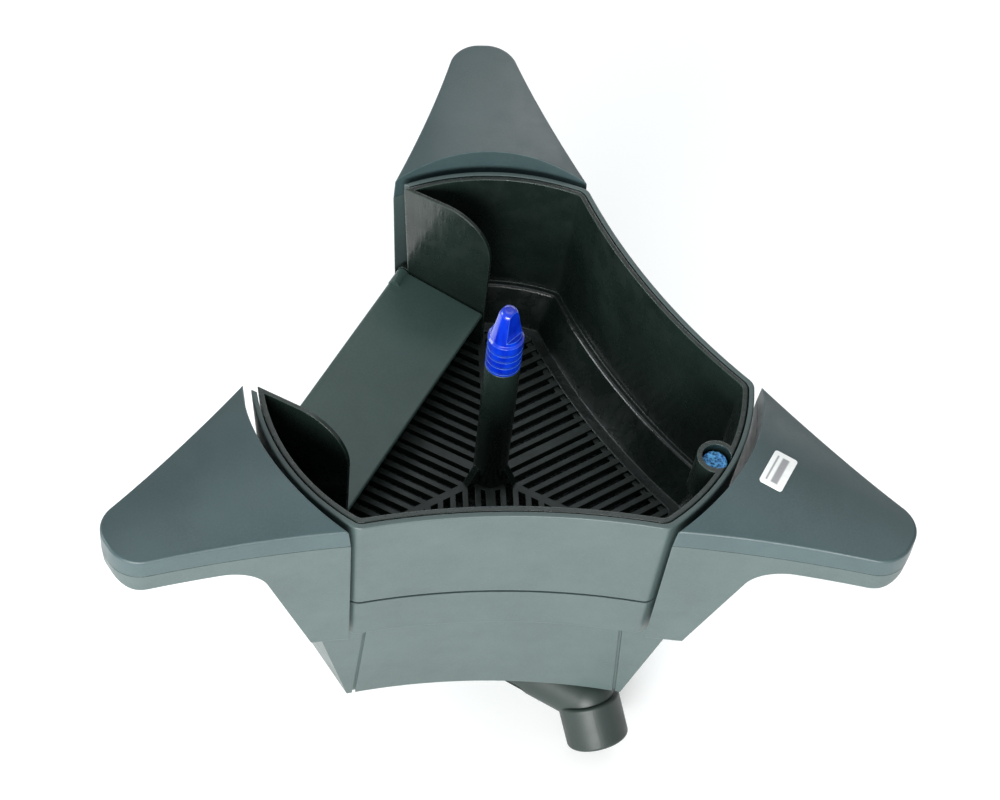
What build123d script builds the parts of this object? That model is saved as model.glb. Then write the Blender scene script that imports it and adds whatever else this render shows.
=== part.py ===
from build123d import *
import math
import os

# Three-armed floating pond skimmer. Millimetres, +Z up.
# The origin is on the centre axis, in the plane of the basket's rim.
# The three floats point to 90, 210 and 330 degrees. The open inlet side faces 150 degrees.

# Plan of the rim: three long hollow sides and three short bulging ends
SIDE_MID = 93.9
SIDE_R = 375.0
END_MID = 127.8
END_R = 115.2
RIM_CORNER_R = 7.0
DRAFT = 4.0
FLOAT_ANGLES = (90, 210, 330)
INLET_ANGLE = 150
SIDE_ANGLES = (-90, 30, INLET_ANGLE)

# Heights
SEAM_Z = -74.0
SKIRT_Z = -108.0
BASE_Z = -196.0
COVER_SEAM_Z = -12.0

# Offsets of the walls from the line between rim and basket
RIM_OUT = 3.0
RIM_LAP = 1.4
RIM_IN = 0.2
BASKET_OUT = -0.4
FLANGE_OFFSET = -26.0
FLANGE_TOP_Z = -105.0

# Walls, gaps and screws
SEAM_GAP = 2.0
LAP = 2.0
SCREW_R = 2.0
SCREW_HEAD_R = 3.6
SCREW_HEAD_H = 2.4

# Floats
FLOAT_INNER = 136.0
FLOAT_CORNER = (123.0, 52.0)
FLOAT_SIDE = (168.5, 33.7)
FLOAT_END = (227.0, 15.1)
FLOAT_TIP_R = 17.0
FLOAT_WALL = 2.5
ARM_UNDER_Z = -25.0
LEG_TOP_U = 164.0
LEG_END_U = 135.0
CROWN = 11.0
COVER_EDGE_R = 1.6

# Lower body
BODY_SIDE_MID = 77.5
BODY_DRAFT = 3.3
BODY_END_TOP = 128.0
BODY_END_BASE = 106.0

# Basket
BASKET_WALL = 2.8
LEDGE_Z = -78.0
LEDGE_DRAFT = 24.4
FLOOR_Z = -100.0
BASKET_BASE_Z = -104.7
LEDGE_OFFSET = -12.0
GRILLE_OFFSET = -28.0
LEDGE_EDGE_R = 1.8
SLAT_PITCH = 6.83
SLAT_W = 3.0
RIB_W = 4.2
RIB_HUB_R = 11.0
CHEEK_T = 77.6
CHEEK_W = 2.2
CHEEK_N = 45.5
CHEEK_R = 29.0
SILL_Z = -75.5

# Weir flap
HINGE_N = 96.5
HINGE_Z = -67.0
FLAP_LENGTH = 51.0
FLAP_HALF_W = 76.8
FLAP_THICK = 3.0
FLAP_EDGE = 1.5
FLAP_DROOP = 8.0
PIN_R = 1.6
KNUCKLE_R = 3.4
KNUCKLE_L = 11.0

# Centre tube and its grip
TUBE_R = 9.3
TUBE_TOP_Z = -2.3
GRIP_TOP_Z = 41.0
GRIP_SHOULDER_Z = 21.0
GRIP_TIP_R = 4.4
GRIP_GROOVES = 4
GRIP_GROOVE_FIRST = 1.8
GRIP_GROOVE_PITCH = 4.85
GRIP_GROOVE_DEEP = 0.9
GRIP_FLAT_ANGLE = 45.0
GRIP_FLAT_AT = 5.4
GRIP_FLAT_TILT = 6.0
SPIGOT_BORE_R = 6.4

# Air filter plug, in a pocket that follows the wall's draft
PLUG_AT = 120.6
PLUG_R = 6.5
POCKET_R = 7.4
POCKET_WALL = 2.6
POCKET_DEPTH = 24.0
PLUG_LENGTH = 19.7

# Pump, on its own vertical axis
PUMP_Y = 16.0
MOTOR_R = 29.0
VOLUTE_R = 33.0
EAR_AT = 37.0
EAR_R = 5.0
MOTOR_BASE_Z = -193.0
MOTOR_TOP_Z = -152.0
VOLUTE_BASE_Z = -149.5
VOLUTE_TOP_Z = -131.0
EAR_ANGLES = (30, 150, 330)
SPIGOT_Z = -141.0
SPIGOT_R = 8.0
EYE_R = 12.0
SEAL_AT = 29.8
SEAL_R = 1.2
VANES = 6
ROTOR_R = 10.5
SHAFT_R = 2.0
IMPELLER_R = 22.0
DECK_TOP_Z = -128.0

# Outlet, which swivels about a vertical axis under the base
OUTLET_XY = (6.0, -33.0)
OUTLET_BORE_R = 9.0
PIPE_R = 11.0
PIPE_END_Z = -201.0
NECK_R = 14.0
COLLAR_R = 17.0
KEEPER_R = 24.5
KEEPER_H = 6.0
SMALL_SCREW_R = 1.5
SMALL_HEAD_R = 2.6
SMALL_HEAD_H = 1.5
DUCT_R = 15.5
DUCT_WALL = 2.6
DUCT_Z = -219.0
NOZZLE_R = 17.8
NOZZLE_BORE_R = 13.4
NOZZLE_START = (61.0, -69.0, DUCT_Z)
NOZZLE_END = (68.0, -84.5, -240.0)
NOZZLE_BORE_LENGTH = 16.0
SLOT_AT = 22.0
SLOT_DIP = -0.45
SLOT_SIZE = (24.0, 11.0)

# Cable gland, low on the side that faces 30 degrees
GLAND_SIDE = 30
GLAND_Z = -178.0
GLAND_R = 8.0
GLAND_BORE_R = 3.6
GLAND_FACE = 74.2

# Label on one float
LABEL_AT = (152.3, 2.0)
LABEL_SIZE = (12.5, 22.0)

SLOPE = math.tan(math.radians(DRAFT))
LEDGE_SLOPE = math.tan(math.radians(LEDGE_DRAFT))


def polar(radius, degrees, z=0.0):
    angle = math.radians(degrees)
    return Vector(radius * math.cos(angle), radius * math.sin(angle), z)


def turned(shape, degrees):
    return shape.rotate(Axis.Z, degrees)


def write(name, shape):
    shape.label = name
    export_step(shape, os.path.join("parts", name + ".step"))


# ---------------------------------------------------------------- plan shapes

def rim_corner(offset):
    """Where a bulging end meets a hollow side: (along the float's axis, across it)."""
    end_r = END_R + offset
    end_x = END_MID - END_R
    side_r = SIDE_R - offset
    centre = polar(SIDE_MID + SIDE_R, 60)
    dx = centre.X - end_x
    dy = centre.Y
    gap = math.hypot(dx, dy)
    along = (gap**2 + end_r**2 - side_r**2) / (2 * gap)
    across = math.sqrt(end_r**2 - along**2)
    return Vector(end_x + (along * dx + across * dy) / gap, (along * dy - across * dx) / gap)


def rim_plan(offset, corner_r=RIM_CORNER_R):
    """The rim outline, moved outward by offset, as a face at z = 0."""
    corner = rim_corner(offset)
    reach = math.hypot(corner.X, corner.Y)
    spread = math.degrees(math.atan2(corner.Y, corner.X))
    edges = []
    for angle in FLOAT_ANGLES:
        before = polar(reach, angle - spread)
        after = polar(reach, angle + spread)
        following = polar(reach, angle + 120 - spread)
        edges.append(ThreePointArc(before, polar(END_MID + offset, angle), after))
        edges.append(ThreePointArc(after, polar(SIDE_MID + offset, angle + 60), following))
    face = Face(Wire(edges))
    return face.fillet_2d(corner_r, face.vertices())


def between(top, base, top_z, base_z):
    """A solid with straight walls from one outline at top_z to another at base_z."""
    return loft([Pos(0, 0, top_z) * top, Pos(0, 0, base_z) * base], ruled=True)


def rim_solid(offset, top_z, base_z, corner_r=RIM_CORNER_R):
    """A solid with drafted walls: its outline has this offset at z = 0 and shrinks downward."""
    top = rim_plan(offset + SLOPE * top_z, corner_r)
    base = rim_plan(offset + SLOPE * base_z, corner_r)
    return between(top, base, top_z, base_z)


def block(x, y, z):
    """A box between two limits along each axis."""
    middle = Pos((x[0] + x[1]) / 2, (y[0] + y[1]) / 2, (z[0] + z[1]) / 2)
    return middle * Box(x[1] - x[0], y[1] - y[0], z[1] - z[0])


def rod(start, end, radius):
    """A round bar between two points."""
    start = Vector(start)
    end = Vector(end)
    plane = Plane(origin=start, z_dir=end - start)
    return extrude(plane * Circle(radius), amount=(end - start).length)


def screw(head, toward, length):
    """A pan-head screw: its head stands on the surface at head, its shank points toward."""
    head = Vector(head)
    toward = Vector(toward).normalized()
    top = head - toward * SCREW_HEAD_H
    cap = rod(top, head, SCREW_HEAD_R)
    slot = Plane(origin=top, z_dir=toward) * Box(2 * SCREW_HEAD_R, 0.9, 1.6)
    return cap + rod(head, head + toward * length, SCREW_R) - slot


# ---------------------------------------------------------------- housing

def rim_wall():
    """The upper wall. It is cut away on the inlet side, down to the seam."""
    wall = rim_solid(RIM_OUT, 0, SEAM_Z)
    wall = fillet(wall.edges().group_by(Axis.Z)[-1], 0.9)
    wall -= rim_solid(RIM_IN, 0, SEAM_Z - 1)
    wall -= rim_solid(RIM_LAP, SEAM_Z + LAP, SEAM_Z - 1)
    inlet = block((50, 140), (-81, 81), (SEAM_Z - 5, 10))
    return wall - turned(inlet, INLET_ANGLE)


def float_face_cone():
    """What lies inside the floats' inner faces, about a vertical axis in the float's frame."""
    corner_u, corner_v = FLOAT_CORNER
    sagitta = FLOAT_INNER - corner_u
    radius = (corner_v**2 + sagitta**2) / (2 * sagitta)
    top_z = 20.0
    base_z = SKIRT_Z - 1
    middle = Pos(FLOAT_INNER - radius, 0, (top_z + base_z) / 2)
    return middle * Cone(radius + SLOPE * base_z, radius + SLOPE * top_z, top_z - base_z)


def float_screw_spots():
    """Where the screws through the lugs start, inside the band, in the float's frame."""
    return [(END_MID + RIM_IN + SLOPE * -92 - 1.2, v, -92) for v in (-13, 13)]


def carrier_band():
    """The band under the seam, with a shelf for the basket and a lug for each float."""
    top_z = SEAM_Z - SEAM_GAP
    lip = rim_solid(RIM_LAP, SEAM_Z + LAP, top_z - 1)
    lip -= turned(block((50, 140), (-81, 81), (top_z, 10)), INLET_ANGLE)
    band = rim_solid(RIM_OUT, top_z, SKIRT_Z) + lip
    band -= rim_solid(RIM_IN, SEAM_Z + LAP + 1, FLANGE_TOP_Z)
    band -= Pos(0, 0, SKIRT_Z - 1) * extrude(rim_plan(FLANGE_OFFSET, 5), amount=10)
    lug = block((108, 145), (-22, 22), (-104, -80)) & float_face_cone()
    core = rim_solid(RIM_OUT - 1.5, top_z, SKIRT_Z - 1)
    for angle in FLOAT_ANGLES:
        band += turned(lug, angle) - core
        for u, v, z in float_screw_spots():
            band -= turned(rod((u - 10, v, z), (u + 30, v, z), SCREW_R + 0.05), angle)
        for u, v in housing_screw_spots():
            band -= turned(rod((u, v, SKIRT_Z - 5), (u, v, FLANGE_TOP_Z + 5), SCREW_R + 0.05), angle)
    return band


def housing_screw_spots():
    return [(113, -14), (113, 14)]


def body_plan(side_mid, end_u):
    """The lower body's star outline as a face at z = 0."""
    centre = polar(side_mid + SIDE_R, 60)
    half = centre.Y - math.sqrt(SIDE_R**2 - (end_u - centre.X) ** 2)
    edges = []
    for angle in FLOAT_ANGLES:
        right = Vector(end_u, -half).rotate(Axis.Z, angle)
        left = Vector(end_u, half).rotate(Axis.Z, angle)
        following = Vector(end_u, -half).rotate(Axis.Z, angle + 120)
        edges.append(ThreePointArc(right, polar(end_u + 3, angle), left))
        edges.append(ThreePointArc(left, polar(side_mid, angle + 60), following))
    return Face(Wire(edges))


def body_solid(inset, top_z, base_z):
    """The lower body with its slanted ends, moved inward by inset."""
    draft = math.tan(math.radians(BODY_DRAFT))
    top_mid = BODY_SIDE_MID - inset + draft * (top_z - SKIRT_Z)
    base_mid = BODY_SIDE_MID - inset + draft * (base_z - SKIRT_Z)
    end_u = BODY_END_TOP + 6
    solid = between(body_plan(top_mid, end_u), body_plan(base_mid, end_u), top_z, base_z)
    lean = (BODY_END_TOP - BODY_END_BASE) / (SKIRT_Z - BASE_Z)
    top_u = BODY_END_TOP - inset + lean * (top_z - SKIRT_Z + 1)
    base_u = BODY_END_TOP - inset + lean * (base_z - SKIRT_Z - 1)
    corners = [(top_u, top_z + 1), (150, top_z + 1), (150, base_z - 1), (base_u, base_z - 1)]
    outline = Polyline(*corners, close=True)
    cut = extrude(Plane.XZ * make_face(outline), amount=60, both=True)
    for angle in FLOAT_ANGLES:
        solid -= turned(cut, angle)
    return solid


def panel_grooves():
    """The thin lines between the lower body's panels and its legs."""
    skin = body_solid(-0.5, SKIRT_Z, BASE_Z) - body_solid(1.6, SKIRT_Z + 1, BASE_Z - 1)
    grooves = []
    for angle in SIDE_ANGLES:
        for side in (-1, 1):
            strip = block((60, 110), (-0.9, 0.9), (-60, 60)).rotate(Axis.X, side * BODY_DRAFT)
            strip = strip.translate((0, side * 69.8, (SKIRT_Z + BASE_Z) / 2))
            grooves.append(skin & turned(strip, angle))
    return grooves


def lower_housing():
    floor_z = BASE_Z + 3
    shell = body_solid(0, SKIRT_Z, BASE_Z)
    for groove in panel_grooves():
        shell -= groove
    shell -= body_solid(2.6, SKIRT_Z + 0.5, floor_z)
    core = body_solid(1, SKIRT_Z, BASE_Z)
    for angle in FLOAT_ANGLES:
        for u, v in housing_screw_spots():
            boss = block((u - 4.5, BODY_END_TOP), (v - 4.5, v + 4.5), (SKIRT_Z - 14, SKIRT_Z))
            boss -= rod((u, v, SKIRT_Z + 1), (u, v, SKIRT_Z - 12), SCREW_R + 0.05)
            shell += turned(boss, angle) & core
    x, y = OUTLET_XY
    shell -= rod((x, y, BASE_Z - 1), (x, y, floor_z + 1), PIPE_R)
    for spot in keeper_screw_spots():
        shell -= rod((*spot, BASE_Z - 1), (*spot, floor_z + 1), SMALL_SCREW_R)
    shell -= turned(rod((60, 0, GLAND_Z), (90, 0, GLAND_Z), GLAND_R - 2.5), GLAND_SIDE)
    return shell


def keeper_screw_spots():
    x, y = OUTLET_XY
    spots = [polar(KEEPER_R - 3.4, angle) for angle in (60, 180, 300)]
    return [(x + spot.X, y + spot.Y) for spot in spots]


# ---------------------------------------------------------------- floats

def float_plan(inset):
    """A float's outline, in its own frame, as a face at z = 0."""
    corner_u, corner_v = FLOAT_CORNER
    side_u, side_v = FLOAT_SIDE
    end_u, end_v = FLOAT_END
    root_u, root_v = 93.0, 66.5
    edges = [
        Line((root_u, -root_v), (corner_u, -corner_v)),
        ThreePointArc((corner_u, -corner_v), (side_u, -side_v), (end_u, -end_v)),
        Line((end_u, -end_v), (end_u, end_v)),
        ThreePointArc((end_u, end_v), (side_u, side_v), (corner_u, corner_v)),
        Line((corner_u, corner_v), (root_u, root_v)),
        Line((root_u, root_v), (root_u, -root_v)),
    ]
    face = Face(Wire(edges))
    face = face.fillet_2d(FLOAT_TIP_R, face.vertices().filter_by(lambda v: v.X > end_u - 1))
    if inset == 0:
        return face
    return offset(face, amount=-inset, kind=Kind.INTERSECTION).face()


def nearest(vertices, point):
    return min(vertices, key=lambda vertex: (vertex.center() - point).length)


def float_profile(inset, top_z):
    """The side view of a float and its leg, wide enough to cut the plan with."""
    lean = (LEG_TOP_U - LEG_END_U) / (ARM_UNDER_Z - SKIRT_Z)
    slant = inset * math.hypot(1, lean)
    base_z = SKIRT_Z + inset
    knee = Vector(LEG_TOP_U - slant + lean * inset, ARM_UNDER_Z + inset)
    foot = Vector(LEG_END_U - slant + lean * inset, base_z)
    tip = Vector(FLOAT_END[0] - inset, ARM_UNDER_Z + inset)
    outline = Polyline((60, top_z), (tip.X, top_z), tip, knee, foot, (60, base_z), close=True)
    face = make_face(outline).face()
    face = face.fillet_2d(8 - inset, [nearest(face.vertices(), tip)])
    face = face.fillet_2d(24, [nearest(face.vertices(), knee)])
    return extrude(Plane.XZ * face, amount=80, both=True)


def float_body(inset, top_z):
    """A float and its leg below top_z, moved inward by inset all round."""
    face = Pos(0, 0, top_z) * float_plan(inset)
    solid = extrude(face, amount=top_z - SKIRT_Z + 5, dir=(0, 0, -1), taper=DRAFT)
    solid &= float_profile(inset, top_z)
    inner = float_face_cone()
    if inset:
        inner = inner + inner.translate((inset, 0, 0))
    return solid - inner


def cover_screw_spots():
    return [(188, 0), (205, 0)]


def float_shell():
    top_z = COVER_SEAM_Z - 0.5
    shell = float_body(0, top_z) - float_body(FLOAT_WALL, top_z + 0.01)
    for u, v in cover_screw_spots():
        shell -= rod((u, v, -40), (u, v, -10), SCREW_R + 0.05)
    for u, v, z in float_screw_spots():
        shell -= rod((u - 10, v, z), (u + 30, v, z), SCREW_R + 0.05)
    return shell


def crown_under(drop):
    """Everything under the arched top of a float, lowered by drop."""
    sections = []
    for u, height, half in ((90, 14.5, 66), (FLOAT_CORNER[0], CROWN, 52), (170, 5.4, 33.5), (240, 0.6, 19.5)):
        radius = (half**2 + height**2) / (2 * height) if half > 40 else 95 + (half - 18)
        low = height - drop - (radius - math.sqrt(radius**2 - 70**2))
        arc = ThreePointArc((-70, low), (0, height - drop), (70, low))
        sides = Polyline((70, low), (70, -60), (-70, -60), (-70, low))
        plane = Plane(origin=(u, 0, 0), x_dir=(0, 1, 0), z_dir=(1, 0, 0))
        sections.append(plane * make_face([arc, *sides.edges()]))
    return loft(sections)


def float_cover():
    """The arched lid of a float, with a lip inside the shell and two screw posts."""
    def solid(inset, drop, base_z, edge_r=0):
        block_under = extrude(Pos(0, 0, base_z) * float_plan(inset), amount=40) & crown_under(drop)
        if edge_r:
            block_under = fillet(block_under.edges().filter_by(is_cover_rim), edge_r)
        inner = float_face_cone()
        if inset:
            inner = inner + inner.translate((inset, 0, 0))
        return block_under - inner

    cover = solid(0, 0, COVER_SEAM_Z, COVER_EDGE_R) - solid(FLOAT_WALL, FLOAT_WALL, COVER_SEAM_Z - 1)
    cover += float_ring(FLOAT_WALL - 0.2, FLOAT_WALL + 2.2, COVER_SEAM_Z, COVER_SEAM_Z + 2)
    cover += float_ring(FLOAT_WALL + 0.4, FLOAT_WALL + 2.2, COVER_SEAM_Z - 4, COVER_SEAM_Z + 1)
    posts = solid(FLOAT_WALL, 1.0, ARM_UNDER_Z + FLOAT_WALL)
    for u, v in cover_screw_spots():
        post = rod((u, v, ARM_UNDER_Z + FLOAT_WALL), (u, v, 20), 4) & posts
        cover += post - rod((u, v, -30), (u, v, -8), SCREW_R + 0.05)
    return cover


def is_cover_rim(edge):
    upright = abs(edge.tangent_at(0.5).Z) > 0.9
    return edge.center().Z > COVER_SEAM_Z / 2 and edge.center().X > FLOAT_CORNER[0] and not upright


def float_ring(outer_inset, inner_inset, base_z, top_z):
    """An upright ring that follows a float's outline, between two insets."""
    def solid(inset):
        face = Pos(0, 0, base_z) * float_plan(inset)
        inner = float_face_cone()
        return extrude(face, amount=top_z - base_z) - (inner + inner.translate((inset, 0, 0)))

    return solid(outer_inset) - solid(inner_inset)


def float_block():
    """The closed-cell foam inside a float."""
    foam = float_body(FLOAT_WALL + 2.2, COVER_SEAM_Z - 1.5)
    for u, v in cover_screw_spots():
        foam -= rod((u, v, -60), (u, v, 0), 4.6)
    for u, v, z in float_screw_spots():
        foam -= rod((u, v, z), (u + 26, v, z), SCREW_R + 1)
    return foam


# ---------------------------------------------------------------- basket

def basket_lower(offset_at_ledge, top_z, base_z):
    """The steeper lower part of the basket, under the ledge."""
    top = rim_plan(offset_at_ledge + (top_z - LEDGE_Z) * LEDGE_SLOPE, 4)
    base = rim_plan(offset_at_ledge + (base_z - LEDGE_Z) * LEDGE_SLOPE, 4)
    return between(top, base, top_z, base_z)


def pocket_rod(radius, top, length):
    """A round bar along the pocket's axis, which leans with the wall, in the float's frame."""
    start = Vector(PLUG_AT + SLOPE * top, 0, top)
    end = start + Vector(-SLOPE, 0, -1).normalized() * length
    return rod(start, end, radius)


def cheek(side):
    """The upright plate beside the flap, in the inlet side's frame."""
    t_limits = sorted((side * CHEEK_T, side * (CHEEK_T + CHEEK_W)))
    outline = Polyline((CHEEK_N, 0), (100, 0), (100, FLOOR_Z), (CHEEK_N, FLOOR_Z), close=True)
    face = make_face(outline).face()
    face = face.fillet_2d(CHEEK_R, [nearest(face.vertices(), Vector(CHEEK_N, 0))])
    plate = extrude(Plane.XZ * face, amount=-CHEEK_W)
    return plate.translate((0, t_limits[0], 0))


def hinge_rod(start, end, radius):
    """A round bar on the flap's hinge line, between two distances from its middle."""
    return turned(rod((HINGE_N, start, HINGE_Z), (HINGE_N, end, HINGE_Z), radius), INLET_ANGLE)


def is_ledge_edge(edge):
    """Whether an edge of the basket's hollow lies along the ledge's inner edge."""
    middle = edge @ 0.5
    outline = rim_plan(LEDGE_OFFSET, 4).outer_wire()
    return abs(middle.Z - LEDGE_Z) < 0.005 and outline.distance_to(Vector(middle.X, middle.Y)) < 0.2


def filter_basket():
    """The lift-out basket: walls, ledge, cheeks and the pocket for the air filter plug."""
    envelope = rim_solid(BASKET_OUT, 0, LEDGE_Z - BASKET_WALL)
    envelope = fillet(envelope.edges().group_by(Axis.Z)[-1], 0.7)
    envelope += basket_lower(LEDGE_OFFSET + BASKET_WALL, LEDGE_Z, BASKET_BASE_Z)
    cavity = rim_solid(BASKET_OUT - BASKET_WALL, 1, LEDGE_Z, RIM_CORNER_R - 2)
    cavity += basket_lower(LEDGE_OFFSET, LEDGE_Z + 0.01, FLOOR_Z)
    cavity = fillet(cavity.edges().filter_by(is_ledge_edge), LEDGE_EDGE_R)
    basket = envelope - cavity
    basket -= Pos(0, 0, BASKET_BASE_Z - 1) * extrude(rim_plan(GRILLE_OFFSET, 3), amount=10)
    basket -= turned(block((50, 140), (-CHEEK_T, CHEEK_T), (SILL_Z, 10)), INLET_ANGLE)
    for side in (-1, 1):
        basket += turned(cheek(side), INLET_ANGLE) & envelope
        basket += hinge_rod(side * CHEEK_T, side * (CHEEK_T + CHEEK_W), KNUCKLE_R)
        basket -= hinge_rod(side * (CHEEK_T - 2), side * (CHEEK_T + 5), PIN_R)
    pocket = turned(pocket_rod(POCKET_R + POCKET_WALL, 1, POCKET_DEPTH + 4), FLOAT_ANGLES[2])
    basket += pocket & envelope
    return basket - turned(pocket_rod(POCKET_R, 2, POCKET_DEPTH + 2), FLOAT_ANGLES[2])


def basket_floor():
    """The slatted floor: three fields of slats between three ribs and a hub."""
    opening = rim_plan(GRILLE_OFFSET - 0.05, 4)
    reach = END_MID
    bars = Circle(RIB_HUB_R)
    for angle in FLOAT_ANGLES:
        bars += turned(Pos(reach / 2, 0) * Rectangle(reach, RIB_W), angle)
    count = int(reach / SLAT_PITCH)
    for angle in SIDE_ANGLES:
        for index in range(-count, count + 1):
            across = index * SLAT_PITCH
            start = abs(across) / math.tan(math.radians(60))
            width = SLAT_W * 1.7 if index == 0 else SLAT_W
            slat = Pos((start + reach) / 2, across) * Rectangle(reach - start, width)
            bars += turned(slat, angle)
    grille = extrude(bars & opening, amount=BASKET_BASE_Z - FLOOR_Z)
    frame = extrude(opening - rim_plan(GRILLE_OFFSET - 3, 2), amount=-2)
    grille = Pos(0, 0, FLOOR_Z) * grille
    return grille + Pos(0, 0, FLOOR_Z - 2) * frame


def handle_tube():
    """The upright tube on the hub, with three fins at its foot and a bore for the grip."""
    tube = rod((0, 0, FLOOR_Z), (0, 0, TUBE_TOP_Z), TUBE_R)
    outline = Polyline((TUBE_R - 1, FLOOR_Z), (TUBE_R + 6, FLOOR_Z), (TUBE_R + 6, FLOOR_Z + 2),
                       (TUBE_R, FLOOR_Z + 13), (TUBE_R - 1, FLOOR_Z + 13), close=True)
    fin = extrude(Plane.XZ * make_face(outline), amount=RIB_W / 2, both=True)
    for angle in FLOAT_ANGLES:
        tube += turned(fin, angle)
    return tube - rod((0, 0, FLOOR_Z + 3), (0, 0, TUBE_TOP_Z + 1), SPIGOT_BORE_R)


def grip_cap():
    """The turning grip: a grooved barrel under a tapered finger grip with two flats."""
    base_z = TUBE_TOP_Z + 0.3
    barrel = upright(TUBE_R, base_z, GRIP_SHOULDER_Z)
    barrel = chamfer(barrel.edges().group_by(Axis.Z)[-1], 1.0)
    for index in range(GRIP_GROOVES):
        groove_z = base_z + GRIP_GROOVE_FIRST + index * GRIP_GROOVE_PITCH
        ring = upright(TUBE_R + 1, groove_z - 0.5, groove_z + 0.5)
        barrel -= ring - upright(TUBE_R - GRIP_GROOVE_DEEP, groove_z - 0.5, groove_z + 0.5)
    height = GRIP_TOP_Z - GRIP_SHOULDER_Z
    taper = Pos(0, 0, GRIP_SHOULDER_Z + height / 2) * Cone(TUBE_R - 1, GRIP_TIP_R, height)
    taper = fillet(taper.edges().group_by(Axis.Z)[-1], GRIP_TIP_R - 1)
    for side in (-1, 1):
        flat = block((-20, 20), (0, 20), (GRIP_SHOULDER_Z + 2, GRIP_TOP_Z + 5))
        tilt = Axis((0, GRIP_FLAT_AT, GRIP_SHOULDER_Z), (1, 0, 0))
        flat = flat.translate((0, GRIP_FLAT_AT, 0)).rotate(tilt, GRIP_FLAT_TILT)
        taper -= turned(flat, GRIP_FLAT_ANGLE + (90 - 90 * side))
    return barrel + taper + upright(SPIGOT_BORE_R - 0.06, base_z - 15, base_z)


# ---------------------------------------------------------------- flap

def hung(shape):
    """Moves a shape from the hinge's own frame, where the flap lies inward and level."""
    shape = shape.rotate(Axis.Y, -FLAP_DROOP)
    return turned(shape.translate((HINGE_N, 0, HINGE_Z)), INLET_ANGLE)


def weir_flap():
    """The weir: a plate with two hinge knuckles, a raised edge and a rounded free edge."""
    half = FLAP_THICK / 2
    plate = block((-FLAP_LENGTH, FLAP_EDGE), (-FLAP_HALF_W, FLAP_HALF_W), (-half, half))
    plate = fillet(plate.edges().group_by(Axis.X)[0].filter_by(Axis.Y), half - 0.05)
    plate += rod((FLAP_EDGE, -FLAP_HALF_W, 0), (FLAP_EDGE, FLAP_HALF_W, 0), half)
    for side in (-1, 1):
        plate += rod((0, side * (FLAP_HALF_W - KNUCKLE_L), 0), (0, side * FLAP_HALF_W, 0), KNUCKLE_R)
        blind_end = side * (FLAP_HALF_W - KNUCKLE_L + 2)
        plate -= rod((0, blind_end, 0), (0, side * (FLAP_HALF_W + 1), 0), PIN_R + 0.06)
    return hung(plate)


def flap_float():
    """The foam strip glued under the free edge, which lifts the flap when the flow stops."""
    top = -FLAP_THICK / 2
    half = FLAP_HALF_W - 6
    strip = block((-FLAP_LENGTH + 3, -FLAP_LENGTH + 15), (-half, half), (top - 6, top))
    return hung(fillet(strip.edges().group_by(Axis.Z)[0], 2))


def hinge_pins():
    pins = []
    for side in (-1, 1):
        inner = side * (FLAP_HALF_W - KNUCKLE_L + 3)
        outer = side * (CHEEK_T + CHEEK_W)
        pins.append(hinge_rod(inner, outer, PIN_R))
    return group(pins)


def air_filter_plug():
    plug = pocket_rod(PLUG_R, -4, PLUG_LENGTH)
    return turned(fillet(plug.edges().filter_by(GeomType.CIRCLE), 1.2), FLOAT_ANGLES[2])


def plain_label():
    """A small plain label on the crown of the float at 330 degrees."""
    u, v = LABEL_AT
    patch = extrude(Pos(u, v, -5) * RectangleRounded(*LABEL_SIZE, 1.6), amount=30)
    label = (patch & crown_under(-0.35)) - crown_under(0)
    return turned(label, FLOAT_ANGLES[2])


# ---------------------------------------------------------------- pump chamber

def at_pump(shape):
    return shape.translate((0, PUMP_Y, 0))


def upright(radius, base_z, top_z):
    return rod((0, 0, base_z), (0, 0, top_z), radius)


def pump_ears(base_z, top_z):
    ears = [turned(rod((EAR_AT, 0, base_z), (EAR_AT, 0, top_z), EAR_R), angle) for angle in EAR_ANGLES]
    return ears[0] + ears[1] + ears[2]


def pump_ear_holes(base_z, top_z, radius):
    holes = [turned(rod((EAR_AT, 0, base_z), (EAR_AT, 0, top_z), radius), angle) for angle in EAR_ANGLES]
    return holes[0] + holes[1] + holes[2]


def motor_can():
    can = upright(MOTOR_R, MOTOR_BASE_Z, MOTOR_TOP_Z)
    can -= upright(MOTOR_R - 2.5, MOTOR_BASE_Z + 3, MOTOR_TOP_Z + 1)
    for angle in range(0, 360, 30):
        can += turned(block((MOTOR_R - 1, MOTOR_R + 2), (-1, 1), (MOTOR_BASE_Z, MOTOR_TOP_Z - 6)), angle)
    return at_pump(can)


def stator():
    winding = upright(MOTOR_R - 2.7, MOTOR_BASE_Z + 3, MOTOR_TOP_Z - 4)
    return at_pump(winding - upright(ROTOR_R + 3.2, MOTOR_BASE_Z, MOTOR_TOP_Z))


def rotor_well():
    """The motor's lid, with the closed sleeve that the rotor turns in."""
    well = upright(VOLUTE_R, MOTOR_TOP_Z, VOLUTE_BASE_Z) + pump_ears(MOTOR_TOP_Z, VOLUTE_BASE_Z)
    well += upright(ROTOR_R + 3, MOTOR_BASE_Z + 3.2, MOTOR_TOP_Z)
    well -= upright(ROTOR_R + 1, MOTOR_BASE_Z + 6, VOLUTE_BASE_Z + 1)
    well -= upright(SHAFT_R, MOTOR_BASE_Z + 4.5, MOTOR_TOP_Z)
    well -= pump_ear_holes(MOTOR_TOP_Z - 1, VOLUTE_BASE_Z + 1, SCREW_R + 0.05)
    well -= Pos(0, 0, VOLUTE_BASE_Z) * Torus(SEAL_AT, SEAL_R)
    return at_pump(well)


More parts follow.
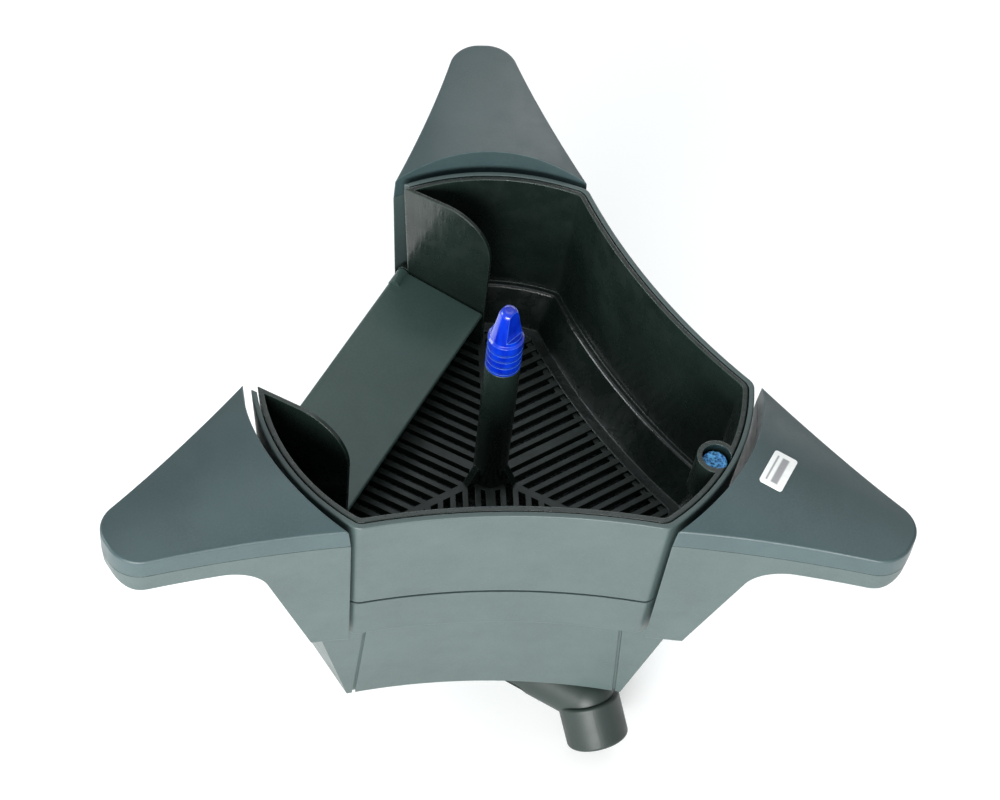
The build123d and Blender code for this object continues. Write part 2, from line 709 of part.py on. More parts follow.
def pump_volute():
    top_inside = VOLUTE_TOP_Z - 2.5
    volute = upright(VOLUTE_R, VOLUTE_BASE_Z, VOLUTE_TOP_Z) + pump_ears(VOLUTE_BASE_Z, VOLUTE_BASE_Z + 4)
    x, y = OUTLET_XY
    volute += rod((x, 0, SPIGOT_Z), (x, y - PUMP_Y + 6, SPIGOT_Z), SPIGOT_R)
    volute -= upright(VOLUTE_R - 6, VOLUTE_BASE_Z - 1, top_inside)
    volute -= upright(EYE_R, top_inside - 1, VOLUTE_TOP_Z + 1)
    volute -= rod((x, 0, SPIGOT_Z), (x, y - PUMP_Y + 5, SPIGOT_Z), SPIGOT_R - 2)
    volute -= pump_ear_holes(VOLUTE_BASE_Z - 1, VOLUTE_BASE_Z + 5, SCREW_R + 0.05)
    volute -= Pos(0, 0, VOLUTE_BASE_Z) * Torus(SEAL_AT, SEAL_R)
    return at_pump(volute)


def volute_seal():
    return at_pump(Pos(0, 0, VOLUTE_BASE_Z) * Torus(SEAL_AT, SEAL_R))


def pump_shaft():
    return at_pump(upright(SHAFT_R, MOTOR_BASE_Z + 4.5, VOLUTE_TOP_Z - 9))


def rotor_magnet():
    base_z = MOTOR_BASE_Z + 7
    magnet = upright(ROTOR_R, base_z, VOLUTE_BASE_Z + 1.5)
    return at_pump(magnet - upright(SHAFT_R + 1.5, base_z - 1, VOLUTE_BASE_Z + 3))


def rotor_bush():
    base_z = MOTOR_BASE_Z + 7
    bush = upright(SHAFT_R + 1.5, base_z, VOLUTE_BASE_Z + 1.5)
    return at_pump(bush - upright(SHAFT_R + 0.06, base_z - 1, VOLUTE_BASE_Z + 3))


def impeller():
    """A back plate, a hub and curved vanes, on top of the rotor."""
    base_z = VOLUTE_BASE_Z + 1.5
    wheel = upright(IMPELLER_R, base_z, base_z + 1.6) + upright(5, base_z, base_z + 8.5)
    for index in range(VANES):
        arc = ThreePointArc((4, 0), (12, 3.4), (IMPELLER_R - 0.6, 3.0))
        vane = extrude(Pos(0, 0, base_z) * trace(arc, 1.3), amount=8)
        wheel += turned(vane, index * 360 / VANES)
    return at_pump(wheel - upright(SHAFT_R + 0.06, base_z - 1, base_z + 10))


def pump_deck():
    """The perforated plate over the pump, which the filter foam lies on."""
    deck = body_solid(2.7, DECK_TOP_Z, VOLUTE_TOP_Z)
    deck -= at_pump(upright(EYE_R, VOLUTE_TOP_Z - 1, DECK_TOP_Z + 1))
    for radius, count in ((58, 18), (72, 24)):
        for index in range(count):
            spot = polar(radius, (index + 0.5) * 360 / count)
            if deck_has_room(spot):
                deck -= rod((spot.X, spot.Y, VOLUTE_TOP_Z - 1), (spot.X, spot.Y, DECK_TOP_Z + 1), 4)
    return deck


def deck_has_room(spot):
    """Whether a hole here stays clear of the long sides."""
    angle = math.atan2(spot.Y, spot.X)
    reach = math.hypot(spot.X, spot.Y)
    across = [reach * math.cos(angle - math.radians(side)) for side in SIDE_ANGLES]
    return max(across) < BODY_SIDE_MID - 10


def filter_foam():
    """The foam block between the basket's floor and the deck."""
    return between(rim_plan(FLANGE_OFFSET - 1, 4), rim_plan(FLANGE_OFFSET - 2.5, 4), SKIRT_Z - 1, DECK_TOP_Z)


def down_pipe():
    """Carries the pump's flow down through the floor. The outlet turns on its end."""
    x, y = OUTLET_XY
    floor_z = BASE_Z + 3
    pipe = upright(PIPE_R, PIPE_END_Z, VOLUTE_TOP_Z - 0.4) + upright(PIPE_R + 4, floor_z, floor_z + 2.5)
    pipe -= upright(OUTLET_BORE_R, PIPE_END_Z - 1, VOLUTE_TOP_Z - 3)
    pipe -= rod((0, 0, SPIGOT_Z), (0, 30, SPIGOT_Z), SPIGOT_R)
    pipe = pipe.translate((x, y, 0))
    return pipe


def cable_gland():
    gland = rod((70, 0, GLAND_Z), (84, 0, GLAND_Z), GLAND_R - 2.6)
    gland += rod((GLAND_FACE, 0, GLAND_Z), (GLAND_FACE + 3, 0, GLAND_Z), GLAND_R)
    gland -= rod((69, 0, GLAND_Z), (90, 0, GLAND_Z), GLAND_BORE_R)
    return turned(gland, GLAND_SIDE)


def gland_nut():
    plane = Plane(origin=(GLAND_FACE + 3, 0, GLAND_Z), z_dir=(1, 0, 0))
    nut = extrude(plane * RegularPolygon(GLAND_R, 6), amount=6)
    nut -= rod((GLAND_FACE, 0, GLAND_Z), (GLAND_FACE + 12, 0, GLAND_Z), GLAND_R - 2.6)
    return turned(nut, GLAND_SIDE)


# ---------------------------------------------------------------- outlet

def outlet_keeper():
    """The ring under the base that holds the outlet's collar and lets it turn."""
    x, y = OUTLET_XY
    under_z = BASE_Z - KEEPER_H
    ring = upright(KEEPER_R, under_z, BASE_Z)
    ring = fillet(ring.edges().group_by(Axis.Z)[0], 1.0)
    ring -= upright(COLLAR_R + 0.4, BASE_Z - 3.6, BASE_Z + 1)
    ring -= upright(NECK_R + 0.4, under_z - 1, BASE_Z)
    ring = ring.translate((x, y, 0))
    for spot in keeper_screw_spots():
        ring -= rod((*spot, under_z - 1), (*spot, BASE_Z + 1), SMALL_SCREW_R)
        ring -= rod((*spot, under_z - 1), (*spot, under_z + SMALL_HEAD_H), SMALL_HEAD_R)
    return ring


def duct_path(radius):
    """The outlet's passage at this radius: elbow, level duct, bend and nozzle."""
    x, y = OUTLET_XY
    turn = (x, y, DUCT_Z)
    passage = Pos(*turn) * Sphere(radius)
    passage += rod(turn, NOZZLE_START, radius)
    passage += Pos(*NOZZLE_START) * Sphere(radius)
    return passage


def outlet_elbow():
    """The turning outlet, with a slot in its flank that draws pond water into the jet."""
    x, y = OUTLET_XY
    elbow = duct_path(DUCT_R)
    elbow += rod((x, y, DUCT_Z), (x, y, BASE_Z - 0.5), NECK_R)
    elbow += rod((x, y, BASE_Z - 3.2), (x, y, BASE_Z - 0.5), COLLAR_R)
    nozzle = rod(NOZZLE_START, NOZZLE_END, NOZZLE_R)
    elbow += fillet(nozzle.edges().filter_by(GeomType.CIRCLE), 2.0)
    elbow -= duct_path(DUCT_R - DUCT_WALL)
    elbow -= rod((x, y, DUCT_Z), (x, y, BASE_Z + 1), OUTLET_BORE_R)
    elbow -= rod((x, y, PIPE_END_Z - 0.4), (x, y, BASE_Z + 1), PIPE_R + 0.06)
    start = Vector(NOZZLE_START)
    end = Vector(NOZZLE_END)
    way = (end - start).normalized()
    elbow -= rod(start, start + way * 12, DUCT_R - DUCT_WALL)
    elbow -= rod(end - way * NOZZLE_BORE_LENGTH, end + way * 2, NOZZLE_BORE_R)
    flow = (start - Vector(x, y, DUCT_Z)).normalized()
    side = Vector(flow.Y, -flow.X, 0)
    middle = Vector(x, y, DUCT_Z) + flow * SLOT_AT
    plane = Plane(origin=middle, x_dir=flow, z_dir=side + Vector(0, 0, SLOT_DIP))
    return elbow - extrude(plane * SlotOverall(*SLOT_SIZE), amount=DUCT_R + 10)


# ---------------------------------------------------------------- screws

def group(parts):
    return Compound(children=[part.solid() for part in parts])


def float_screws():
    screws = []
    for angle in FLOAT_ANGLES:
        for u, v, z in float_screw_spots():
            screws.append(turned(screw((float_screw_seat(v), v, z), (1, 0, 0), 17), angle))
    return group(screws)


def float_screw_seat(v):
    """Where the band's inner wall is, at this distance from the float's axis."""
    radius = END_R + RIM_IN + SLOPE * -92
    return END_MID - END_R + math.sqrt(radius**2 - (abs(v) + SCREW_HEAD_R) ** 2)


def cover_screws():
    screws = []
    for angle in FLOAT_ANGLES:
        for u, v in cover_screw_spots():
            screws.append(turned(screw((u, v, ARM_UNDER_Z), (0, 0, 1), 14), angle))
    return group(screws)


def housing_screws():
    screws = []
    for angle in FLOAT_ANGLES:
        for u, v in housing_screw_spots():
            screws.append(turned(screw((u, v, FLANGE_TOP_Z), (0, 0, -1), 13), angle))
    return group(screws)


def pump_screws():
    screws = []
    for angle in EAR_ANGLES:
        one = screw((EAR_AT, 0, VOLUTE_BASE_Z + 4), (0, 0, -1), 6.4)
        screws.append(at_pump(turned(one, angle)))
    return group(screws)


def keeper_screws():
    """Small screws whose heads are sunk into the keeper."""
    screws = []
    under_z = BASE_Z - KEEPER_H
    seat_z = under_z + SMALL_HEAD_H
    for x, y in keeper_screw_spots():
        one = rod((x, y, under_z), (x, y, seat_z), SMALL_HEAD_R)
        one += rod((x, y, seat_z), (x, y, BASE_Z + 3), SMALL_SCREW_R)
        slot = Pos(x, y, under_z) * Box(2 * SMALL_HEAD_R, 0.8, 1.6)
        screws.append(one - slot)
    return group(screws)


def main():
    os.makedirs("parts", exist_ok=True)
    write("rim_wall", rim_wall())
    write("carrier_band", carrier_band())
    write("lower_housing", lower_housing())
    shell = float_shell()
    cover = float_cover()
    foam = float_block()
    for name, angle in zip(("back", "left", "right"), FLOAT_ANGLES):
        write("float_shell_" + name, turned(shell, angle))
        write("float_cover_" + name, turned(cover, angle))
        write("float_foam_" + name, turned(foam, angle))
    parts = (
        filter_basket, basket_floor, handle_tube, grip_cap, air_filter_plug,
        weir_flap, flap_float, hinge_pins,
        plain_label, filter_foam, pump_deck,
        motor_can, stator, rotor_well, pump_volute, volute_seal,
        pump_shaft, rotor_magnet, rotor_bush, impeller,
        down_pipe, cable_gland, gland_nut, outlet_keeper, outlet_elbow,
        float_screws, cover_screws, housing_screws, pump_screws, keeper_screws,
    )
    for part in parts:
        write(part.__name__, part())


if __name__ == "__main__":
    main()
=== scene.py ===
import math

import bpy
from mathutils import Matrix, Vector, noise


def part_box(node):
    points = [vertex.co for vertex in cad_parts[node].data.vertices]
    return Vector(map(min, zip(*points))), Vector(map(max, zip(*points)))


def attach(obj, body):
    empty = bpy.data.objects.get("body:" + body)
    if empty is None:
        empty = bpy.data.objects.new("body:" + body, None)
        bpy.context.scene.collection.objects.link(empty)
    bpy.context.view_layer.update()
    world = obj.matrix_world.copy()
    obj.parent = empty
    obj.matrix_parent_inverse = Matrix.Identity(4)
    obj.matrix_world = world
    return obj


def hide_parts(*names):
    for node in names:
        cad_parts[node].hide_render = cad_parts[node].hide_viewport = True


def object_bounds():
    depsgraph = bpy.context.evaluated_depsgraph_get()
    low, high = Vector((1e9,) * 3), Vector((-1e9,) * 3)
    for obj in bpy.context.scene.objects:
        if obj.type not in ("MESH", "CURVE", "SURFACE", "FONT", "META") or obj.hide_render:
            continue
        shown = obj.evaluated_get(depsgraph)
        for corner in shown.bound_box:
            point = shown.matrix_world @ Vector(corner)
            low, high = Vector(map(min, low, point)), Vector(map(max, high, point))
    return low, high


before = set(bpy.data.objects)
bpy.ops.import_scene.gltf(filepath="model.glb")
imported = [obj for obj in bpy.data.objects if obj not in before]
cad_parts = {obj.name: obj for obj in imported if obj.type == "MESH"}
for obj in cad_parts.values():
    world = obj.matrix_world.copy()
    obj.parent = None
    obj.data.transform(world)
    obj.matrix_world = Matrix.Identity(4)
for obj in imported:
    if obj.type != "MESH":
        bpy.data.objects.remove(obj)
cad_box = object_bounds()

FLOATS = ("back", "left", "right")
FLOAT_ANGLES = {"back": 90, "left": 210, "right": 330}

# Plastics: sizes in metres
GRAIN_SIZE = 0.0007
GRAIN_DEPTH = 0.00005
EDGE_RADIUS = 0.0006
RIPPLE_SIZE = 0.0045
RIPPLE_DEPTH = 0.00035

# Foam plug: its pores, how deep they go and the mesh they are cut in
FOAM_PORE = 0.0014
FOAM_DEPTH = 0.0006
FOAM_VOXEL = 0.0003

# Label, about its own middle: the bar, the thin line, how soft their edges are, and their grey
BAR_ACROSS, BAR_WIDTH, BAR_SOFT = 0.0008, 0.0036, 0.0004
LINE_ACROSS, LINE_WIDTH, LINE_SOFT = -0.0034, 0.0009, 0.0003
MARK_LENGTH = 0.0165
MARK_GREY = (0.3, 0.3, 0.31)

# Studio: each light's name, place, target, size, power in watts and colour
LIGHTS = (
    ("key", (-0.5, -2.0, 0.55), (0, 0, -0.1), (1.6, 0.9), 78, (0.98, 1.0, 0.99)),
    ("left", (-1.9, 0.3, 0.8), (0, 0, -0.05), (1.0, 0.8), 20, (0.94, 0.98, 1.0)),
    ("top", (0.2, 0.6, 2.1), (0, 0, 0), (1.6, 1.6), 10, (0.86, 0.95, 1.0)),
    ("back", (0.5, 2.3, 1.0), (0, 0, 0), (2.2, 0.6), 16, (1, 1, 1)),
)
WORLD_STRENGTH = 0.42
FLOOR_SIZE = 8
FLOOR_GAP = 0.002
FLOOR_GLOW = 0.2

# Camera: degrees, metres, and millimetres for the lens
CAMERA_YAW, CAMERA_PITCH, CAMERA_ROLL = -8.49, 52.39, 7.0
CAMERA_DISTANCE = 1.3116
CAMERA_TARGET = (0.00084, -0.00008, -0.0333)
CAMERA_LENS, CAMERA_SENSOR = 90.37, 36.0


# ------------------------------------------------------------------ materials

class Nodes:
    """A short way to write a material's node tree."""

    def __init__(self, name):
        self.material = bpy.data.materials.new(name)
        self.material.use_nodes = True
        self.tree = self.material.node_tree
        self.shader = self.tree.nodes["Principled BSDF"]
        self.place = self.add("ShaderNodeTexCoord").outputs["Object"]

    def add(self, kind, **settings):
        node = self.tree.nodes.new(kind)
        for key, value in settings.items():
            setattr(node, key, value)
        return node

    def link(self, start, end):
        self.tree.links.new(start, end)

    def stretched(self, scale):
        """The object's own coordinates, scaled by a vector."""
        mapping = self.add("ShaderNodeMapping")
        mapping.inputs["Scale"].default_value = scale
        self.link(self.place, mapping.inputs["Vector"])
        return mapping.outputs["Vector"]

    def noise(self, size, detail=3.0, where=None):
        """Noise with features of about this size in metres."""
        node = self.add("ShaderNodeTexNoise")
        node.inputs["Scale"].default_value = 1 / size
        node.inputs["Detail"].default_value = detail
        self.link(where or self.place, node.inputs["Vector"])
        return node.outputs["Fac"]

    def cells(self, size):
        """The distance to the middle of the nearest cell."""
        node = self.add("ShaderNodeTexVoronoi", feature="F1")
        node.inputs["Scale"].default_value = 1 / size
        self.link(self.place, node.inputs["Vector"])
        return node.outputs["Distance"]

    def ranged(self, value, low, high, new_low=0.0, new_high=1.0):
        node = self.add("ShaderNodeMapRange")
        node.inputs["From Min"].default_value = low
        node.inputs["From Max"].default_value = high
        node.inputs["To Min"].default_value = new_low
        node.inputs["To Max"].default_value = new_high
        self.link(value, node.inputs["Value"])
        return node.outputs["Result"]

    def mixed(self, factor, first, second):
        """Two colours, or the results of other nodes, mixed by a factor."""
        node = self.add("ShaderNodeMix", data_type="RGBA")
        self.link(factor, node.inputs[0])
        for socket, colour in ((node.inputs[6], first), (node.inputs[7], second)):
            if isinstance(colour, tuple):
                socket.default_value = (*colour, 1.0)
            else:
                self.link(colour, socket)
        return node.outputs[2]

    def bump(self, height, depth, normal=None):
        """A bump of this depth in metres, over another normal if one is given."""
        node = self.add("ShaderNodeBump")
        node.inputs["Strength"].default_value = 1.0
        node.inputs["Distance"].default_value = depth
        self.link(height, node.inputs["Height"])
        if normal:
            self.link(normal, node.inputs["Normal"])
        return node.outputs["Normal"]

    def soft_edges(self, radius):
        """Normals that round the edges off, and a mask that is 1 on those edges."""
        bevel = self.add("ShaderNodeBevel", samples=6)
        bevel.inputs["Radius"].default_value = radius
        flat = self.add("ShaderNodeNewGeometry").outputs["Normal"]
        dot = self.add("ShaderNodeVectorMath", operation="DOT_PRODUCT")
        self.link(bevel.outputs["Normal"], dot.inputs[0])
        self.link(flat, dot.inputs[1])
        return bevel.outputs["Normal"], self.ranged(dot.outputs["Value"], 0.995, 0.8)

    def finish(self, colour, roughness, normal):
        for value, name in ((colour, "Base Color"), (roughness, "Roughness"), (normal, "Normal")):
            if isinstance(value, tuple):
                self.shader.inputs[name].default_value = (*value, 1.0)
            elif isinstance(value, float):
                self.shader.inputs[name].default_value = value
            elif value:
                self.link(value, self.shader.inputs[name])
        return self.material


def lighter(colour, factor):
    return tuple(min(1.0, part * factor) for part in colour)


def moulded_plastic(name, colour, rough, grain=GRAIN_SIZE, grain_depth=GRAIN_DEPTH,
                    edge=EDGE_RADIUS, highlight_gain=1.9):
    """Moulded plastic with an eroded matte grain, faint cloudiness and paler edges, partly wear and
    partly a painted highlight.
    """
    nodes = Nodes(name)
    rounded, edge_highlight = nodes.soft_edges(edge)
    cloud = nodes.ranged(nodes.noise(0.035, 4), 0.3, 0.7)
    body = nodes.mixed(cloud, lighter(colour, 0.9), lighter(colour, 1.1))
    speck = nodes.ranged(nodes.noise(grain * 1.4, 2), 0.35, 0.7)
    body = nodes.mixed(nodes.ranged(speck, 0, 1, 0.0, 0.4), body, lighter(colour, 1.35))
    # Paler edges: a painted highlight along the rounded edges, broken up by noise like wear.
    wear_and_highlight = nodes.add("ShaderNodeMath", operation="MULTIPLY")
    nodes.link(edge_highlight, wear_and_highlight.inputs[0])
    nodes.link(nodes.ranged(nodes.noise(0.006, 4), 0.3, 0.75, 0.35, 1.0), wear_and_highlight.inputs[1])
    body = nodes.mixed(wear_and_highlight.outputs[0], body, lighter(colour, highlight_gain))
    roughness = nodes.ranged(nodes.noise(0.01, 5), 0.25, 0.75, rough - 0.06, rough + 0.06)
    pits = nodes.bump(nodes.noise(grain, 3), grain_depth, rounded)
    normal = nodes.bump(nodes.noise(0.012, 2), 0.00006, pits)
    nodes.shader.inputs["Specular IOR Level"].default_value = 0.5
    return nodes.finish(body, roughness, normal)


def rippled_gloss(name, colour, rough):
    """Glossy moulded walls: tall faint ripples from the tool, fine scuffs, dried water marks and a
    painted highlight on the edges.
    """
    nodes = Nodes(name)
    rounded, edge_highlight = nodes.soft_edges(0.001)
    cloud = nodes.ranged(nodes.noise(0.03, 5), 0.35, 0.7)
    body = nodes.mixed(cloud, lighter(colour, 0.8), lighter(colour, 1.25))
    # Painted highlight: the rounded edges are painted 4.5 times paler.
    body = nodes.mixed(edge_highlight, body, lighter(colour, 4.5))
    tall = nodes.stretched((1.0, 1.0, 0.16))
    ripple = nodes.noise(RIPPLE_SIZE, 3, tall)
    scuff = nodes.noise(0.0012, 4, nodes.stretched((1.0, 1.0, 0.4)))
    marks = nodes.ranged(nodes.noise(0.009, 6), 0.4, 0.7, rough - 0.06, rough + 0.12)
    normal = nodes.bump(ripple, RIPPLE_DEPTH, rounded)
    normal = nodes.bump(scuff, 0.00007, normal)
    nodes.shader.inputs["Coat Weight"].default_value = 0.25
    nodes.shader.inputs["Coat Roughness"].default_value = 0.12
    return nodes.finish(body, marks, normal)


def grille_plastic(name, colour):
    """The slats: the same black plastic, a little duller, with silt in its pores and a painted
    highlight on their edges.
    """
    nodes = Nodes(name)
    rounded, edge_highlight = nodes.soft_edges(0.0005)
    silt = nodes.ranged(nodes.noise(0.004, 5), 0.5, 0.75)
    body = nodes.mixed(silt, colour, lighter(colour, 1.9))
    # Painted highlight: the slats' edges are painted five times paler.
    body = nodes.mixed(edge_highlight, body, lighter(colour, 5.0))
    normal = nodes.bump(nodes.noise(0.0011, 4), 0.00008, rounded)
    return nodes.finish(body, nodes.ranged(nodes.noise(0.008, 4), 0.3, 0.7, 0.32, 0.5), normal)


def clear_blue(name):
    """Translucent blue plastic, with faint flow lines under a polished skin and a painted highlight
    on its edges.
    """
    nodes = Nodes(name)
    rounded, edge_highlight = nodes.soft_edges(0.0005)
    flow = nodes.ranged(nodes.noise(0.006, 3, nodes.stretched((1.0, 1.0, 0.3))), 0.35, 0.7)
    body = nodes.mixed(flow, (0.001, 0.014, 0.4), (0.003, 0.05, 0.66))
    # Painted highlight: the edges are painted a pale bright blue.
    body = nodes.mixed(edge_highlight, body, (0.1, 0.32, 1.0))
    shader = nodes.shader
    shader.inputs["Transmission Weight"].default_value = 0.2
    shader.inputs["IOR"].default_value = 1.49
    shader.inputs["Coat Weight"].default_value = 0.6
    shader.inputs["Coat Roughness"].default_value = 0.05
    normal = nodes.bump(nodes.noise(0.003, 3), 0.00008, rounded)
    return nodes.finish(body, nodes.ranged(nodes.noise(0.004, 4), 0.3, 0.7, 0.12, 0.26), normal)


def open_foam(name, colour, pore):
    """Reticulated foam: pale strands around pores painted dark as shade."""
    nodes = Nodes(name)
    pores = nodes.ranged(nodes.cells(pore), 0.15, 0.6)
    shade = nodes.ranged(nodes.noise(pore * 2.5, 4), 0.3, 0.7)
    strands = nodes.mixed(shade, colour, lighter(colour, 1.5))
    # Painted shade: the middle of each pore is painted dark.
    body = nodes.mixed(pores, lighter(colour, 0.28), strands)
    normal = nodes.bump(pores, pore * 0.6)
    return nodes.finish(body, nodes.ranged(shade, 0, 1, 0.75, 0.95), normal)


def closed_foam(name, colour):
    """Closed-cell foam: soft beads pressed together."""
    nodes = Nodes(name)
    beads = nodes.ranged(nodes.cells(0.0022), 0.0, 0.8)
    body = nodes.mixed(beads, colour, lighter(colour, 0.82))
    return nodes.finish(body, nodes.ranged(beads, 0, 1, 0.7, 0.9), nodes.bump(beads, 0.0003))


def label_film(name):
    """A white film label with a thin line over a plain bar, both grey, and no lettering."""
    nodes = Nodes(name)
    turn = nodes.add("ShaderNodeMapping", vector_type="TEXTURE")
    turn.inputs["Location"].default_value = LABEL_PLACE
    turn.inputs["Rotation"].default_value = (0, 0, math.radians(FLOAT_ANGLES["right"]))
    nodes.link(nodes.place, turn.inputs["Vector"])
    split = nodes.add("ShaderNodeSeparateXYZ")
    nodes.link(turn.outputs["Vector"], split.inputs["Vector"])

    def strip(across, along, width, length, softness):
        """A mask for a strip around a place on the label."""
        masks = []
        for axis, middle, size in (("X", across, width), ("Y", along, length)):
            apart = nodes.add("ShaderNodeMath", operation="SUBTRACT")
            nodes.link(split.outputs[axis], apart.inputs[0])
            apart.inputs[1].default_value = middle
            away = nodes.add("ShaderNodeMath", operation="ABSOLUTE")
            nodes.link(apart.outputs[0], away.inputs[0])
            masks.append(nodes.ranged(away.outputs[0], size / 2 + softness, size / 2 - softness))
        both = nodes.add("ShaderNodeMath", operation="MULTIPLY")
        nodes.link(masks[0], both.inputs[0])
        nodes.link(masks[1], both.inputs[1])
        return both.outputs[0]

    cloud = nodes.ranged(nodes.noise(0.003, 3), 0.3, 0.7)
    film = nodes.mixed(cloud, (0.78, 0.8, 0.79), (0.86, 0.87, 0.86))
    bar = strip(BAR_ACROSS, 0, BAR_WIDTH, MARK_LENGTH, BAR_SOFT)
    body = nodes.mixed(bar, film, MARK_GREY)
    line = strip(LINE_ACROSS, 0, LINE_WIDTH, MARK_LENGTH, LINE_SOFT)
    body = nodes.mixed(line, body, MARK_GREY)
    normal = nodes.bump(nodes.noise(0.0012, 3), 0.00002)
    return nodes.finish(body, nodes.ranged(nodes.noise(0.002, 3), 0.3, 0.7, 0.25, 0.4), normal)


def brushed_metal(name, colour, rough):
    """Stainless steel with fine streaks."""
    nodes = Nodes(name)
    rounded, _ = nodes.soft_edges(0.0002)
    streak = nodes.noise(0.0004, 4, nodes.stretched((1.0, 0.12, 1.0)))
    body = nodes.mixed(nodes.ranged(streak, 0.3, 0.7), lighter(colour, 0.8), colour)
    nodes.shader.inputs["Metallic"].default_value = 1.0
    normal = nodes.bump(streak, 0.00002, rounded)
    return nodes.finish(body, nodes.ranged(streak, 0.3, 0.7, rough - 0.05, rough + 0.1), normal)


def smooth_part(name, colour, rough):
    """Ground or turned parts inside the pump."""
    nodes = Nodes(name)
    rounded, _ = nodes.soft_edges(0.0003)
    cloud = nodes.ranged(nodes.noise(0.004, 5), 0.3, 0.7)
    body = nodes.mixed(cloud, lighter(colour, 0.85), lighter(colour, 1.1))
    normal = nodes.bump(nodes.noise(0.0006, 3), 0.00002, rounded)
    return nodes.finish(body, nodes.ranged(cloud, 0, 1, rough - 0.04, rough + 0.08), normal)


def copper_winding(name):
    """Turns of enamelled wire, with painted shade in the grooves between turns."""
    nodes = Nodes(name)
    wave = nodes.add("ShaderNodeTexWave", bands_direction="Z")
    wave.inputs["Scale"].default_value = 450.0
    wave.inputs["Distortion"].default_value = 1.5
    nodes.link(nodes.place, wave.inputs["Vector"])
    turns = wave.outputs["Fac"]
    # Painted shade: dark brown bands between the turns, copper on them.
    body = nodes.mixed(turns, (0.16, 0.06, 0.02), (0.62, 0.28, 0.1))
    nodes.shader.inputs["Metallic"].default_value = 0.7
    return nodes.finish(body, nodes.ranged(turns, 0, 1, 0.3, 0.5), nodes.bump(turns, 0.0003))


def label_place():
    """The middle of the label's box."""
    low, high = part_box("plain_label")
    return tuple((Vector(low) + Vector(high)) / 2)


LABEL_PLACE = label_place()
MATERIALS = {
    # The covers' edges get a wider, brighter painted highlight.
    "cover": moulded_plastic("cover_grain", (0.038, 0.063, 0.067), 0.38,
                             edge=0.0009, highlight_gain=2.4),
    "side": moulded_plastic("side_grain", (0.052, 0.077, 0.075), 0.38),
    "body": moulded_plastic("body_grain", (0.055, 0.08, 0.077), 0.38),
    "basket": rippled_gloss("basket_gloss", (0.008, 0.0145, 0.012), 0.28),
    "grille": grille_plastic("grille_black", (0.013, 0.021, 0.018)),
    "flap": moulded_plastic("flap_satin", (0.043, 0.079, 0.069), 0.38,
                            grain=0.0009, grain_depth=0.00004),
    "outlet": moulded_plastic("outlet_grain", (0.017, 0.027, 0.024), 0.46),
    "pump": smooth_part("pump_housing", (0.025, 0.027, 0.03), 0.4),
    "grip": clear_blue("grip_blue"),
    "steel": brushed_metal("screw_steel", (0.62, 0.62, 0.6), 0.25),
    "dark_foam": open_foam("filter_sponge", (0.035, 0.04, 0.042), 0.0022),
    "blue_foam": open_foam("air_filter_sponge", (0.12, 0.4, 0.98), FOAM_PORE),
    "pale_foam": closed_foam("float_foam", (0.72, 0.72, 0.7)),
    "rubber": smooth_part("seal_rubber", (0.012, 0.012, 0.013), 0.6),
    "ferrite": smooth_part("ferrite", (0.05, 0.05, 0.055), 0.35),
    "ceramic": smooth_part("ceramic", (0.8, 0.79, 0.75), 0.15),
    "bush": smooth_part("bush_plastic", (0.55, 0.52, 0.46), 0.35),
    "impeller": smooth_part("impeller_plastic", (0.3, 0.31, 0.3), 0.35),
    "winding": copper_winding("copper_winding"),
    "label": label_film("label_film"),
}

# Which material each node wears
FINISHES = {
    "rim_wall": "side", "carrier_band": "side", "lower_housing": "body",
    "filter_basket": "basket", "basket_floor": "grille", "handle_tube": "basket",
    "hinge_pins": "steel", "weir_flap": "flap", "flap_float": "pale_foam",
    "grip_cap": "grip", "air_filter_plug": "blue_foam",
    "filter_foam": "dark_foam", "pump_deck": "body",
    "motor_can": "pump", "rotor_well": "pump", "pump_volute": "pump", "down_pipe": "pump",
    "stator": "winding", "pump_shaft": "ceramic", "rotor_magnet": "ferrite", "rotor_bush": "bush",
    "impeller": "impeller", "volute_seal": "rubber",
    "outlet_elbow": "outlet", "outlet_keeper": "outlet",
    "cable_gland": "outlet", "gland_nut": "outlet",
    "float_screws": "steel", "cover_screws": "steel", "housing_screws": "steel",
    "pump_screws": "steel", "keeper_screws": "steel", "plain_label": "label",
}
for side in FLOATS:
    FINISHES["float_shell_" + side] = "side"
    FINISHES["float_cover_" + side] = "cover"
    FINISHES["float_foam_" + side] = "pale_foam"


def dress_nodes():
    """Puts each CAD node's material on it."""
    for node, finish in FINISHES.items():
        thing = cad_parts[node]
        thing.data.materials.clear()
        thing.data.materials.append(MATERIALS[finish])


# ------------------------------------------------------------------ foam

def copy_of(node, name):
    """A new object with a copy of a CAD node's mesh."""
    piece = bpy.data.objects.new(name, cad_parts[node].data.copy())
    bpy.context.collection.objects.link(piece)
    return piece


def remeshed(piece, voxel):
    """Gives the piece an even mesh of about this spacing."""
    modifier = piece.modifiers.new("remesh", "REMESH")
    modifier.mode = "VOXEL"
    modifier.voxel_size = voxel
    modifier.use_smooth_shade = True
    graph = bpy.context.evaluated_depsgraph_get()
    mesh = bpy.data.meshes.new_from_object(piece.evaluated_get(graph))
    piece.modifiers.clear()
    piece.data = mesh


def foam_surface(piece, pore, depth):
    """Pushes the surface in at scattered pores, so that the foam has real holes."""
    normals = [vertex.normal.copy() for vertex in piece.data.vertices]
    for vertex, normal in zip(piece.data.vertices, normals):
        near = noise.voronoi(vertex.co / pore)[0][0]
        hollow = max(0.0, 1.0 - near / 0.55)
        ripple = noise.noise(vertex.co / (pore * 2.5))
        vertex.co -= normal * depth * (hollow + 0.35 * max(0.0, ripple))


def add_foam_plug():
    """The air filter plug, with real pores in its surface."""
    plug = copy_of("air_filter_plug", "air_filter_foam")
    remeshed(plug, FOAM_VOXEL)
    foam_surface(plug, FOAM_PORE, FOAM_DEPTH)
    plug.data.materials.clear()
    plug.data.materials.append(MATERIALS["blue_foam"])
    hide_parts("air_filter_plug")
    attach(plug, "plug")


# ------------------------------------------------------------------ studio

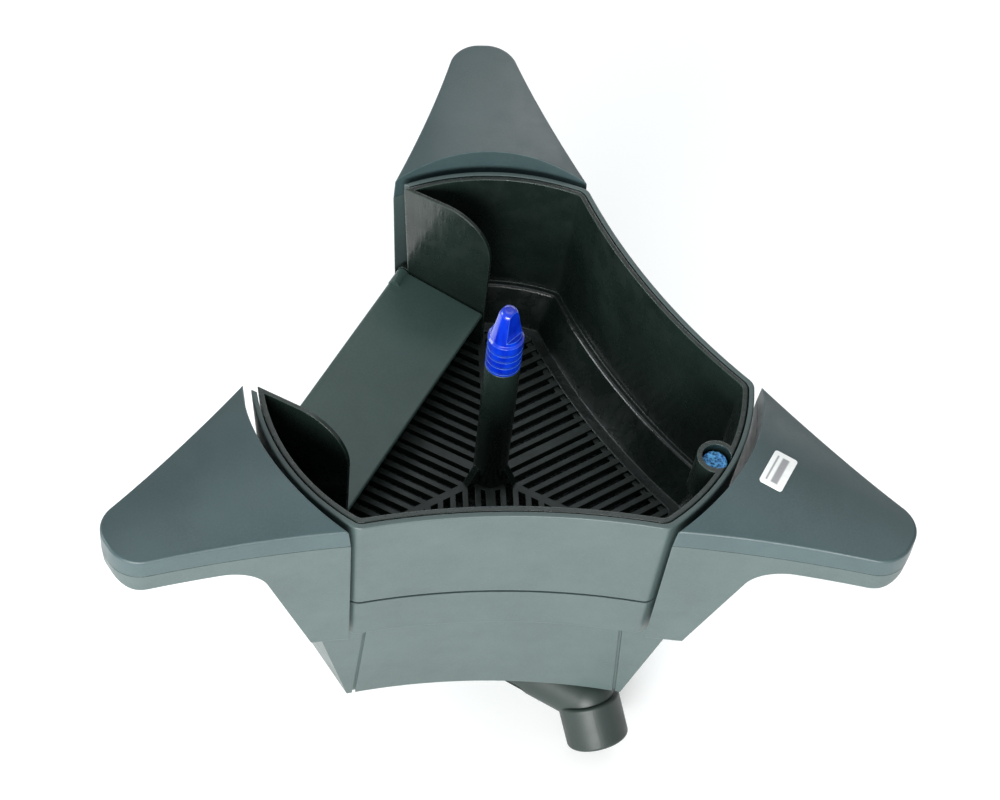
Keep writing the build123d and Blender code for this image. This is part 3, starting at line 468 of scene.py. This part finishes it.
def add_floor():
    """A plain pale floor just under the object."""
    low = min(cad_box[0][2], cad_box[1][2])
    bpy.ops.mesh.primitive_plane_add(size=FLOOR_SIZE, location=(0, 0, low - FLOOR_GAP))
    floor = bpy.context.object
    floor.name = "floor"
    nodes = Nodes("pale_floor")
    cloud = nodes.ranged(nodes.noise(0.6, 2), 0.3, 0.7)
    tone = nodes.mixed(cloud, (0.86, 0.87, 0.87), (0.9, 0.905, 0.905))
    nodes.shader.inputs["Emission Color"].default_value = (1.0, 1.0, 1.0, 1.0)
    nodes.shader.inputs["Emission Strength"].default_value = FLOOR_GLOW
    floor.data.materials.append(nodes.finish(tone, 0.9, None))


def add_light(name, place, target, size, power, colour):
    """A soft rectangular light that faces its target."""
    data = bpy.data.lights.new(name, "AREA")
    data.shape = "RECTANGLE"
    data.size, data.size_y = size
    data.energy = power
    data.color = colour
    light = bpy.data.objects.new(name, data)
    light.location = place
    light.rotation_euler = (Vector(target) - Vector(place)).to_track_quat("-Z", "Y").to_euler()
    bpy.context.collection.objects.link(light)


def add_lights():
    """A plain white world and the studio's soft lights."""
    world = bpy.data.worlds.new("studio")
    world.use_nodes = True
    background = world.node_tree.nodes["Background"]
    background.inputs["Color"].default_value = (1.0, 1.0, 1.0, 1.0)
    background.inputs["Strength"].default_value = WORLD_STRENGTH
    bpy.context.scene.world = world
    bpy.context.scene.view_settings.view_transform = "Standard"
    for light in LIGHTS:
        add_light(*light)


def add_camera():
    """Above the front of the object, turned a little to its left and rolled."""
    yaw, pitch, roll = map(math.radians, (CAMERA_YAW, CAMERA_PITCH, CAMERA_ROLL))
    flat = math.cos(pitch)
    back = Vector((math.sin(yaw) * flat, -math.cos(yaw) * flat, math.sin(pitch)))
    level = Vector((math.cos(yaw), math.sin(yaw), 0))
    upward = back.cross(level)
    right = math.cos(roll) * level + math.sin(roll) * upward
    up = back.cross(right)
    data = bpy.data.cameras.new("camera")
    data.sensor_width = CAMERA_SENSOR
    data.lens = CAMERA_LENS
    camera = bpy.data.objects.new("camera", data)
    turn = Matrix((right, up, back)).transposed().to_4x4()
    place = Vector(CAMERA_TARGET) + CAMERA_DISTANCE * back
    camera.matrix_world = Matrix.Translation(place) @ turn
    bpy.context.collection.objects.link(camera)
    bpy.context.scene.camera = camera


dress_nodes()
add_foam_plug()
add_floor()
add_lights()
add_camera()
